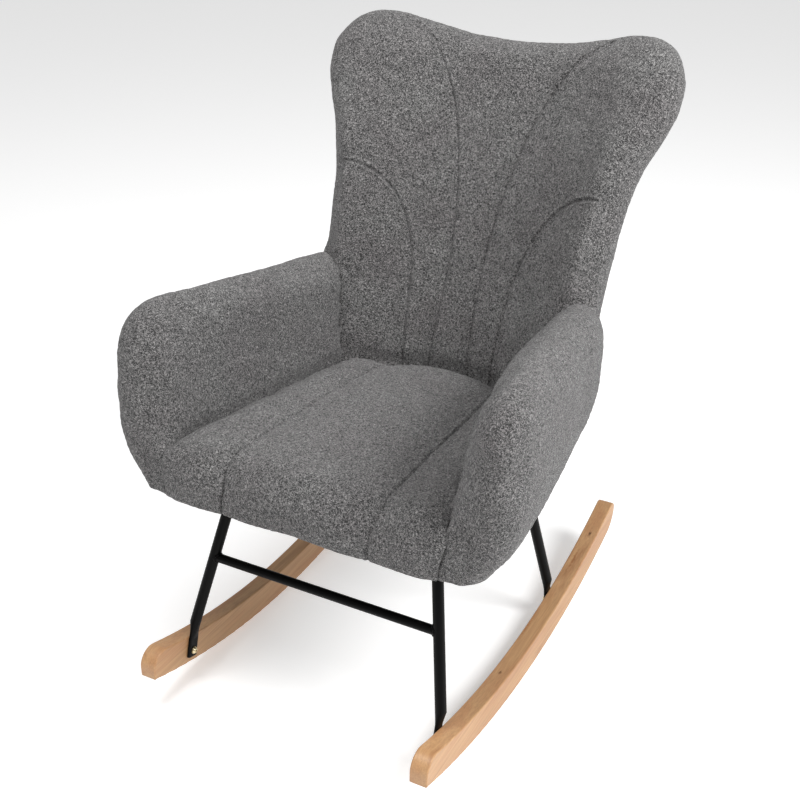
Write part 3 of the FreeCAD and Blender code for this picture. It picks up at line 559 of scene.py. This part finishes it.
def seam_distance(points, seams):
    """Distance from each point to the nearest sewn line."""
    line = np.concatenate([evenly(seam, 600) for seam in seams])
    tree = KDTree(len(line))
    for k, p in enumerate(line):
        tree.insert(p, k)
    tree.balance()
    return np.array([tree.find(p)[2] for p in points])


def laid_on(obj, seams):
    """Sewn lines moved to the nearest places on an object's surface."""
    surface = tree_of(obj)
    return [np.array([surface.find_nearest(p)[0] for p in evenly(seam, 400)]) for seam in seams]


def refine_near(obj, seams, reach):
    """Halve the mesh's edges close to the sewn lines."""
    distance = seam_distance(points_of(obj), seams)
    work = bmesh.new()
    work.from_mesh(obj.data)
    work.verts.ensure_lookup_table()
    close = [e for e in work.edges if all(distance[v.index] < reach for v in e.verts)]
    bmesh.ops.subdivide_edges(work, edges=close, cuts=1, use_grid_fill=True)
    work.to_mesh(obj.data)
    work.free()
    obj.data.update()


def sew(obj, seams, depth, lip=0.0011, crown=0.0030, spread=0.030, width=0.0022):
    """Draw the cover in along sewn lines: a thin groove between two soft lips, in a shallow valley."""
    seams = laid_on(obj, seams)
    refine_near(obj, seams, 4 * width)
    points, normals = points_of(obj), normals_of(obj)
    distance = seam_distance(points, seams)
    pucker = 1 + 0.25 * bump_noise(points, 0.016, 5)
    groove = np.exp(-(distance / width) ** 2)
    lips = np.exp(-((distance - 2.4 * width) / (1.2 * width)) ** 2)
    valley = np.exp(-(distance / spread) ** 2)
    shift = (lip * lips - depth * groove) * pucker - crown * valley
    set_points(obj, points + normals * shift[:, None])


def cut_level(obj, roll=0.004):
    """Roll the cover's lower edge under, and close it with a level cut at the seat base."""
    points, normals = points_of(obj), normals_of(obj)
    height = np.clip(points[:, 2] - BASE_Z, 0, roll)
    inset = roll - np.sqrt(roll ** 2 - (roll - height) ** 2)
    level = normals * np.array([1, 1, 0])
    set_points(obj, points - level * 0.6 * inset[:, None])
    work = bmesh.new()
    work.from_mesh(obj.data)
    everything = work.verts[:] + work.edges[:] + work.faces[:]
    bmesh.ops.bisect_plane(work, geom=everything, dist=1e-6, plane_co=(0, 0, BASE_Z + 0.0004),
                           plane_no=(0, 0, 1), clear_inner=True)
    rim = [e for e in work.edges if e.is_boundary]
    bmesh.ops.triangle_fill(work, edges=rim, use_beauty=True)
    bmesh.ops.recalc_face_normals(work, faces=work.faces)
    work.to_mesh(obj.data)
    work.free()
    obj.data.update()


# ---------------------------------------------------------------- sewn lines
REAR_PANEL_INSET = 0.052     # from the rim to the rear panel's seam

inner_seam_x = through((0.40, 0.050), (0.436, 0.046), (0.60, 0.0385), (0.66, 0.042), (0.732, 0.052),
                       (0.802, 0.069), (0.874, 0.095), (0.946, 0.137), (1.0, 0.182), (1.032, 0.211))
outer_seam_x = through((0.40, 0.100), (0.534, 0.108), (0.60, 0.116), (0.645, 0.128), (0.685, 0.147),
                       (0.725, 0.176), (0.757, 0.212), (0.780, 0.252), (0.790, 0.276))


def on_back(x, z):
    """A point of the back's padded face in the row frame."""
    return back_face(x, z) + np.array([0, TIPS_Y, 0])


def face_seams():
    """The back's four fanned seams, foot to rim."""
    seams = []
    for side in (-1, 1):
        for seam_x, top, count in ((inner_seam_x, 1.02, 120), (outer_seam_x, 0.790, 100)):
            z = np.linspace(0.41, top, count)
            seams.append(on_back(side * seam_x(z), z))
    return seams


def rim_seam():
    """The line where the rear panel is sewn on, inside the rim on the rear side."""
    side = smooth_outline(SIDE_RIM, 160)
    top = smooth_outline(TOP_RIM, 160)
    rim = np.concatenate([side, top[1:], (top * MIRROR)[::-1][1:], (side * MIRROR)[::-1][1:]])
    x, z = inset_line(rim, REAR_PANEL_INSET).T
    rear = back_sheet(x, z) + back_normal(x, z) * BACK_HALF
    return rear + np.array([0, TIPS_Y, 0])


def seat_seams():
    """Two seams over the seat's top and down its front."""
    seams = []
    for side in (-1, 1):
        y = np.linspace(SEAT_FRONT + SEAT_NOSE, 0.60, 90)
        top = np.stack([side * seat_seam_x(y), y, seat_seam_z(y)], axis=1)
        turn = np.linspace(0, math.pi / 2, 24)
        nose_y = SEAT_FRONT + SEAT_NOSE * (1 - np.cos(turn))
        top_z = float(seat_seam_z(SEAT_FRONT + SEAT_NOSE))
        nose = np.stack([side * seat_seam_x(nose_y), nose_y, top_z - SEAT_NOSE * (1 - np.sin(turn))], axis=1)
        z = np.linspace(FOOT_Z, top_z - SEAT_NOSE, 24)
        face = np.stack([np.full(24, side * 0.1315), np.full(24, SEAT_FRONT - 0.003), z], axis=1)
        seams.append(np.concatenate([face, nose[1:], top[1:]]) + np.array([0, TIPS_Y, 0]))
    return seams


# ---------------------------------------------------------------- building the soft pieces
def frame_block():
    """The space of the seat's wooden frame and board, a little oversize."""
    low = np.array([FRAME_LOW.x - GAP, FRAME_LOW.y - TIPS_Y - GAP, BASE_Z - 0.05])
    high = np.array([FRAME_HIGH.x + GAP, FRAME_HIGH.y - TIPS_Y + GAP, FRAME_HIGH.z + GAP])
    corners = [[(low, high)[i][0], (low, high)[j][1], (low, high)[k][2]]
               for i in (0, 1) for j in (0, 1) for k in (0, 1)]
    faces = [(0, 1, 3, 2), (4, 6, 7, 5), (0, 4, 5, 1), (2, 3, 7, 6), (0, 2, 6, 4), (1, 5, 7, 3)]
    return mesh_object("frame_block", corners, faces)


def shade_smooth(obj):
    """Show an object without facets."""
    for polygon in obj.data.polygons:
        polygon.use_smooth = True


def mirrored_copy(obj, name):
    """The other side's piece."""
    twin = bpy.data.objects.new(name, obj.data.copy())
    bpy.context.scene.collection.objects.link(twin)
    twin.data.transform(Matrix.Scale(-1, 4, (1, 0, 0)))
    twin.data.flip_normals()
    return twin


BACK_SWELL = 0.010           # the most that each piece may grow as it fills
ARM_SWELL = 0.008
SEAT_SWELL = 0.008


def soft_pieces():
    """The back, both arms and the seat: shaped, swollen, fitted and sewn."""
    back, arm, seat = back_shape(), arm_shape(), seat_shape()
    tool = swollen(back_shape("back_tool", 70, 50), GAP)
    block = frame_block()
    cut_away(arm, tool)
    cut_away(arm, block)
    for piece, voxel in ((back, BACK_VOXEL), (arm, ARM_VOXEL), (seat, SEAT_VOXEL)):
        remesh(piece, voxel)
        relax(piece)
    remove(tool, block)
    twin = mirrored_copy(arm, "arm_twin")
    back_tree, arm_tree, twin_tree, seat_tree = (tree_of(o) for o in (back, arm, twin, seat))
    inflate(back, [arm_tree, twin_tree, seat_tree], BACK_SWELL)
    inflate(arm, [back_tree, seat_tree], ARM_SWELL)
    inflate(seat, [arm_tree, twin_tree, back_tree], SEAT_SWELL)
    for piece in (back, arm, seat):
        relax(piece)
    remove(twin)
    for piece in (back, arm, seat):
        subdivide(piece)
    sew(back, face_seams(), depth=0.0026, lip=0.0016)
    sew(back, [rim_seam()], depth=0.003, crown=0.0012, spread=0.018)
    sew(seat, seat_seams(), depth=0.0042, lip=0.0006, crown=0.0035)
    for seed, piece in enumerate((back, arm, seat)):
        points = points_of(piece)
        lumps = 0.0005 * bump_noise(points, 0.070, seed + 11) + 0.0003 * bump_noise(points, 0.011, seed + 21)
        set_points(piece, points + normals_of(piece) * lumps[:, None])
        cut_level(piece)
    back.name, arm.name, seat.name = "back_cover", "arm_cover_left", "seat_cover"
    other = mirrored_copy(arm, "arm_cover_right")
    pairs = ((back, ("backrest_pad", "back_panel"), 0.75), (arm, ("arm_pad_left",), 0.8),
             (other, ("arm_pad_right",), 0.8), (seat, ("seat_cushion",), 0.7))
    for piece, stands_for, fill in pairs:
        shade_smooth(piece)
        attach(piece, "root")
        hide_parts(*stands_for)
    return [pair[0] for pair in pairs]


# ---------------------------------------------------------------- small steel details
def bead(points, thick=0.0021, sides=8):
    """A rippled closed ring of weld metal along points, as (vertices, faces)."""
    points = np.array(points)
    count = len(points)
    along = np.roll(points, -1, axis=0) - np.roll(points, 1, axis=0)
    along /= np.linalg.norm(along, axis=1, keepdims=True)
    outward = points - points.mean(0)
    outward -= (outward * along).sum(1, keepdims=True) * along
    outward /= np.linalg.norm(outward, axis=1, keepdims=True)
    across = np.cross(along, outward)
    turns = np.linspace(0, 2 * math.pi, sides, endpoint=False)
    ripple = thick * (1 + 0.16 * np.sin(np.linspace(0, 2 * math.pi, count, endpoint=False) * 11))
    offsets = np.cos(turns)[None, :, None] * outward[:, None] + np.sin(turns)[None, :, None] * across[:, None]
    vertices = (points[:, None] + offsets * ripple[:, None, None]).reshape(-1, 3)
    faces = []
    for k in range(count):
        for j in range(sides):
            after, beside = (k + 1) % count, (j + 1) % sides
            faces.append((k * sides + j, after * sides + j, after * sides + beside, k * sides + beside))
    return vertices, faces


def join_shapes(name, shapes):
    """One object from several (vertices, faces) shapes in the row frame."""
    vertices, faces = [], []
    for points, quads in shapes:
        first = len(vertices)
        vertices += [tuple(p) for p in points]
        faces += [tuple(first + k for k in quad) for quad in quads]
    mesh = bpy.data.meshes.new(name)
    mesh.from_pydata(vertices, [], faces)
    mesh.validate()
    obj = bpy.data.objects.new(name, mesh)
    bpy.context.scene.collection.objects.link(obj)
    tidy(obj, 1e-7)
    shade_smooth(obj)
    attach(obj, "root")
    return obj


def ring_on(tree, rays):
    """Where rays from a ring of (start, direction) meet a surface: one ring, or none if a ray misses."""
    hits = [tree.ray_cast(start, direction)[0] for start, direction in rays]
    return [] if any(hit is None for hit in hits) else [hits]


def weld_beads():
    """Fillets of weld where the stretchers and the mounting rails meet the legs."""
    rings = []
    turns = [(math.cos(t), math.sin(t)) for t in np.linspace(0, 2 * math.pi, 44, endpoint=False)]
    for end in ("front", "rear"):
        low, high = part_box(end + "_stretcher")
        middle = (low + high) / 2
        radius = (high.z - low.z) / 2
        for side_name, side in (("left", 1), ("right", -1)):
            leg = frame["nodes"]["%s_leg_%s" % (end, side_name)]
            tree = tree_of(leg)
            rings += ring_on(tree, [(Vector((side * 0.1, middle.y + radius * c, middle.z + radius * s)),
                                     Vector((side, 0, 0))) for c, s in turns])
            corners = points_of(leg)
            top = corners[:, 2].max()
            centre = corners[corners[:, 2] > top - 1e-4].mean(0)
            hub = Vector((centre[0], centre[1], top - 0.0012))
            rings += ring_on(tree, [(hub + Vector((c, s, 0)) * 0.03, Vector((-c, -s, 0))) for c, s in turns])
    beads = join_shapes("weld_beads", [bead(ring) for ring in rings])
    return beads


def staple(place, along, length=0.010, wire=0.0006):
    """A flat-topped wire staple under the seat, its legs going up into the rail."""
    along = Vector(along).normalized()
    across = Vector((-along.y, along.x, 0))
    path = [along * -length / 2 + Vector((0, 0, 0.004)), along * -length / 2 + Vector((0, 0, 0.0006)),
            along * (-length / 2 + 0.0006), along * (length / 2 - 0.0006),
            along * length / 2 + Vector((0, 0, 0.0006)), along * length / 2 + Vector((0, 0, 0.004))]
    bends = [0, 0.4, 1, 1, 0.4, 0]
    up = Vector((0, 0, 1))
    vertices, faces = [], []
    for k, (point, level) in enumerate(zip(path, bends)):
        outward = along * (-1 if k < 3 else 1)
        thickness = (up * level - outward * (1 - level)).normalized() * wire
        for a, b in ((-1, 0), (1, 0), (1, 1), (-1, 1)):
            vertices.append(Vector(place) + point + across * wire * a + thickness * b)
    for k in range(len(path) - 1):
        for j in range(4):
            beside = (j + 1) % 4
            faces.append((k * 4 + j, k * 4 + beside, k * 4 + 4 + beside, k * 4 + 4 + j))
    faces.append((3, 2, 1, 0))
    last = 4 * len(path) - 4
    faces.append((last, last + 1, last + 2, last + 3))
    return vertices, faces


def cover_staples():
    """Staples along the four edges of the cloth under the seat."""
    low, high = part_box("dust_cover")
    z = low.z - 0.0006
    inset, pitch = 0.008, 0.045
    shapes = []
    for first, last in (((low.x, low.y), (high.x, low.y)), ((low.x, high.y), (high.x, high.y)),
                        ((low.x, low.y), (low.x, high.y)), ((high.x, low.y), (high.x, high.y))):
        first, last = Vector((*first, z)), Vector((*last, z))
        middle = Vector(((low.x + high.x) / 2, (low.y + high.y) / 2, z))
        run = last - first
        count = int(run.length / pitch)
        inward = middle - (first + last) / 2
        inward.normalize()
        for k in range(count):
            place = first + run * ((k + 0.5) / count) + inward * inset
            shapes.append(staple(place, run))
    staples = join_shapes("cover_staples", shapes)
    return staples


# ---------------------------------------------------------------- materials
def grey(value, warmth=0.0):
    """A grey, or a grey pushed towards red and away from blue."""
    return (value * (1 + warmth), value, value * (1 - warmth))


def set_inputs(node, **inputs):
    """Fill in a node's inputs by name."""
    for key, value in inputs.items():
        node.inputs[key.replace("_", " ")].default_value = value


class Shading:
    """A new material with its shader, and short ways to add nodes and join them.

    Values that hold for the whole surface are set on the shader itself.
    """

    def __init__(self, name, roughness, **inputs):
        self.material = bpy.data.materials.new(name)
        self.material.use_nodes = True
        self.tree = self.material.node_tree
        self.shader = self.tree.nodes["Principled BSDF"]
        set_inputs(self.shader, Roughness=roughness, **inputs)
        self.place = self.add("TexCoord").outputs["Object"]

    def add(self, kind, **settings):
        """A new node: capitalised settings are its inputs, the others its properties."""
        made = self.tree.nodes.new("ShaderNode" + kind)
        for key, value in settings.items():
            if key[0].isupper():
                set_inputs(made, **{key: value})
            else:
                setattr(made, key, value)
        return made

    def join(self, source, target):
        """Feed one node's output into another's input."""
        self.tree.links.new(source, target)

    def mapped(self, **settings):
        """The object's own coordinates, moved and scaled."""
        made = self.add("Mapping", **settings)
        self.join(self.place, made.inputs["Vector"])
        return made.outputs["Vector"]

    def noise(self, place=None, **settings):
        """Cloudy noise."""
        made = self.add("TexNoise", **settings)
        self.join(place or self.place, made.inputs["Vector"])
        return made.outputs["Fac"]

    def cells(self, **settings):
        """Distance to the middles of scattered cells."""
        made = self.add("TexVoronoi", feature="F1", **settings)
        self.join(self.place, made.inputs["Vector"])
        return made.outputs["Distance"]

    def math(self, operation, *values):
        """Arithmetic on outputs and plain numbers."""
        made = self.add("Math", operation=operation)
        for entry, value in zip(made.inputs, values):
            if isinstance(value, float):
                entry.default_value = value
            else:
                self.join(value, entry)
        return made.outputs["Value"]

    def ramp(self, value, *stops):
        """Colours picked by a value from (place, colour) stops."""
        made = self.add("ValToRGB")
        elements = made.color_ramp.elements
        while len(elements) < len(stops):
            elements.new(0.5)
        for element, (place, colour) in zip(elements, stops):
            element.position = place
            element.color = (*colour, 1)
        self.join(value, made.inputs["Fac"])
        return made.outputs["Color"]

    def multiply(self, first, second, share=1.0):
        """One colour darkened by another."""
        made = self.add("MixRGB", blend_type="MULTIPLY", Fac=share)
        self.join(first, made.inputs["Color1"])
        self.join(second, made.inputs["Color2"])
        return made.outputs["Color"]

    def finish(self, colour, height, strength, distance):
        """The material, with its colour and its fine relief joined to the shader."""
        self.join(colour, self.shader.inputs["Base Color"])
        relief = self.add("Bump", Strength=strength, Distance=distance)
        self.join(height, relief.inputs["Height"])
        self.join(relief.outputs["Normal"], self.shader.inputs["Normal"])
        return self.material


def boucle():
    """Looped pile: light crossing curls over dark gaps, in softly uneven patches. The dark in the gaps is
    painted shade where the curls sink, and the lighter loop tops are painted highlight.
    """
    look = Shading("boucle", 0.95, Sheen_Weight=0.18, Sheen_Roughness=0.6)
    curls = look.noise(Scale=300.0, Detail=1.0, Roughness=0.5, Distortion=0.8)
    loops = look.cells(Scale=480.0)
    patches = look.noise(Scale=11.0, Detail=4.0, Roughness=0.6)
    valley = look.math("ABSOLUTE", look.math("SUBTRACT", curls, 0.5))
    # Light on the raised curls, near black in the gaps between them: the dark is painted shade where the
    # curls sink, over the yarn's grey.
    curls_over_painted_gap_shade = look.ramp(valley, (0.0, grey(0.35)), (0.03, grey(0.20)), (0.075, grey(0.060)),
                        (0.16, grey(0.018)))
    # Lighter loop middles, where the loops stand highest: painted highlight on the loop tops, with painted
    # shade towards their feet.
    dots = look.ramp(loops, (0.05, grey(1.25)), (0.75, grey(0.62)))
    shade = look.ramp(patches, (0.32, (1.02, 0.96, 0.96)), (0.68, (1.16, 1.14, 1.12)))
    colour = look.multiply(look.multiply(curls_over_painted_gap_shade, dots), shade)
    height = look.math("MULTIPLY_ADD", valley, -3.2, look.math("MULTIPLY", loops, -0.5))
    return look.finish(colour, height, 0.9, 0.0028)


def timber(name, light, dark, streak, knots=(), roughness=0.45):
    """Sawn wood with its grain along Y, growth bands and a few (centre, radii, strength) knots."""
    look = Shading(name, roughness)
    drift = look.noise(look.mapped(Scale=(38.0, 2.2, 30.0)), Scale=1.0, Detail=5.0, Roughness=0.55,
                       Distortion=0.6)
    fibre = look.noise(look.mapped(Scale=(420.0, 9.0, 420.0)), Scale=1.0, Detail=3.0, Roughness=0.6)
    bands = look.ramp(drift, (0.30, dark), (0.46, light), (0.60, streak), (0.74, light))
    lines = look.ramp(fibre, (0.30, grey(0.78, 0.03)), (0.62, grey(1.06)))
    colour = look.multiply(bands, lines, 0.8)
    for centre, radii, strength in knots:
        length = look.add("VectorMath", operation="LENGTH")
        look.join(look.mapped(vector_type="TEXTURE", Location=centre, Scale=radii), length.inputs[0])
        ragged = look.math("ADD", length.outputs["Value"], look.noise(Scale=260.0, Detail=3.0))
        spot = look.ramp(ragged, (0.62, grey(strength, 0.25)), (1.35, grey(1.0)))
        colour = look.multiply(colour, spot)
    return look.finish(colour, fibre, 0.25, 0.0006)


def metal(name, colour, roughness, metallic, speck, shine=0.5):
    """Metal or paint over metal with fine texture in its colour and gloss."""
    look = Shading(name, roughness, Metallic=metallic, Specular_IOR_Level=shine)
    fine = look.noise(Scale=900.0, Detail=2.0)
    broad = look.noise(Scale=35.0, Detail=3.0)
    shade = look.ramp(broad, (0.3, tuple(c * 0.8 for c in colour)), (0.7, tuple(c * 1.15 for c in colour)))
    gloss = look.add("MapRange", To_Min=roughness - 0.08, To_Max=roughness + 0.1)
    look.join(broad, gloss.inputs["Value"])
    look.join(gloss.outputs["Result"], look.shader.inputs["Roughness"])
    return look.finish(shade, fine, speck, 0.0003)


def dust_cloth():
    """Black non-woven cloth pressed in a small grid of points."""
    look = Shading("dust_cloth", 0.95)
    dots = look.cells(Scale=420.0, Randomness=0.25)
    return look.finish(look.ramp(dots, (0.1, grey(0.012)), (0.6, grey(0.035))), dots, 0.5, 0.0004)


def paint(obj, material):
    """Give an object one material."""
    obj.data.materials.clear()
    obj.data.materials.append(material)


def dress_cad(materials):
    """Give every CAD node that shows the material of its slot."""
    for part in frame["record"]["subparts"]:
        slot_name = part["material_slot"]
        if slot_name in materials:
            node = frame["nodes"][part["node"]]
            for k in range(len(node.material_slots)):
                node.material_slots[k].material = materials[slot_name]
            if not node.material_slots:
                node.data.materials.append(materials[slot_name])


# ---------------------------------------------------------------- studio
def area_light(name, place, target, size, power):
    """A round soft lamp at a place, facing a target."""
    data = bpy.data.lights.new(name, "AREA")
    data.shape = "DISK"
    data.size = size
    data.energy = power
    lamp = bpy.data.objects.new(name, data)
    lamp.location = place
    lamp.rotation_euler = (Vector(target) - Vector(place)).to_track_quat("-Z", "Y").to_euler()
    bpy.context.scene.collection.objects.link(lamp)


def studio():
    """A pale floor that fades into a pale surround, and soft lamps."""
    mesh = bpy.data.meshes.new("floor")
    reach = 12.0
    mesh.from_pydata([(-reach, -reach, 0), (reach, -reach, 0), (reach, reach, 0), (-reach, reach, 0)],
                     [], [(0, 1, 2, 3)])
    floor = bpy.data.objects.new("floor", mesh)
    bpy.context.scene.collection.objects.link(floor)
    look = Shading("pale_floor", 0.9, Base_Color=(0.90, 0.90, 0.90, 1), Emission_Color=(1, 1, 1, 1),
                   Emission_Strength=0.34)
    paint(floor, look.material)
    world = bpy.data.worlds.new("surround")
    world.use_nodes = True
    background = world.node_tree.nodes["Background"]
    background.inputs["Color"].default_value = (1.0, 1.0, 1.0, 1)
    background.inputs["Strength"].default_value = 0.42
    bpy.context.scene.world = world
    middle = (0, 0, 0.5)
    area_light("key", (2.4, -0.2, 2.5), middle, 1.4, 92)
    area_light("overhead", (-0.4, -1.0, 3.4), middle, 1.6, 60)


def camera():
    """The view from in front on the sitter's left, looking down at the chair."""
    azimuth, drop = math.radians(28.198), math.radians(28.134)
    data = bpy.data.cameras.new("camera")
    data.sensor_width = 36
    data.lens = 55.08
    eye = bpy.data.objects.new("camera", data)
    eye.location = (0.8788, -1.2165 + TIPS_Y, 1.4677)
    look = Vector((-math.sin(azimuth) * math.cos(drop), math.cos(azimuth) * math.cos(drop),
                   -math.sin(drop)))
    eye.rotation_euler = look.to_track_quat("-Z", "Y").to_euler()
    bpy.context.scene.collection.objects.link(eye)
    bpy.context.scene.camera = eye


# ---------------------------------------------------------------- the scene
bpy.context.scene.view_settings.view_transform = "Standard"
camera()
studio()
covers = soft_pieces()
core = back_core()
fabric = boucle()
for cover in covers:
    paint(cover, fabric)
near_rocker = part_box("rocker_left")
knots = [((near_rocker[1].x - 0.014, TIPS_Y + 0.735, 0.085), (0.008, 0.018, 0.03), 0.18),
         ((near_rocker[0].x + 0.012, TIPS_Y + 0.66, 0.075), (0.006, 0.075, 0.03), 0.55),
         ((near_rocker[0].x + 0.004, TIPS_Y + 0.45, 0.055), (0.005, 0.100, 0.03), 0.62),
         ((near_rocker[0].x + 0.014, TIPS_Y + 0.31, 0.060), (0.006, 0.014, 0.03), 0.30)]
materials = {
    "rocker_wood": timber("rocker_wood", (0.50, 0.29, 0.14), (0.36, 0.18, 0.08), (0.45, 0.235, 0.11), knots),
    "black_steel": metal("black_steel", (0.0022, 0.0021, 0.0022), 0.40, 0.0, 0.15, 0.09),
    "zinc_hardware": metal("zinc_hardware", (0.72, 0.62, 0.40), 0.32, 1.0, 0.1),
    "brass_hardware": metal("brass_hardware", (0.78, 0.57, 0.26), 0.35, 1.0, 0.1),
    "frame_lumber": timber("frame_lumber", (0.66, 0.50, 0.31), (0.52, 0.37, 0.20), (0.60, 0.43, 0.25),
                           roughness=0.7),
    "plywood": timber("plywood", (0.62, 0.46, 0.28), (0.45, 0.30, 0.17), (0.55, 0.38, 0.22)),
    "dust_cloth": dust_cloth(),
}
dress_cad(materials)
paint(core, materials["plywood"])
paint(weld_beads(), materials["black_steel"])
paint(cover_staples(), materials["zinc_hardware"])
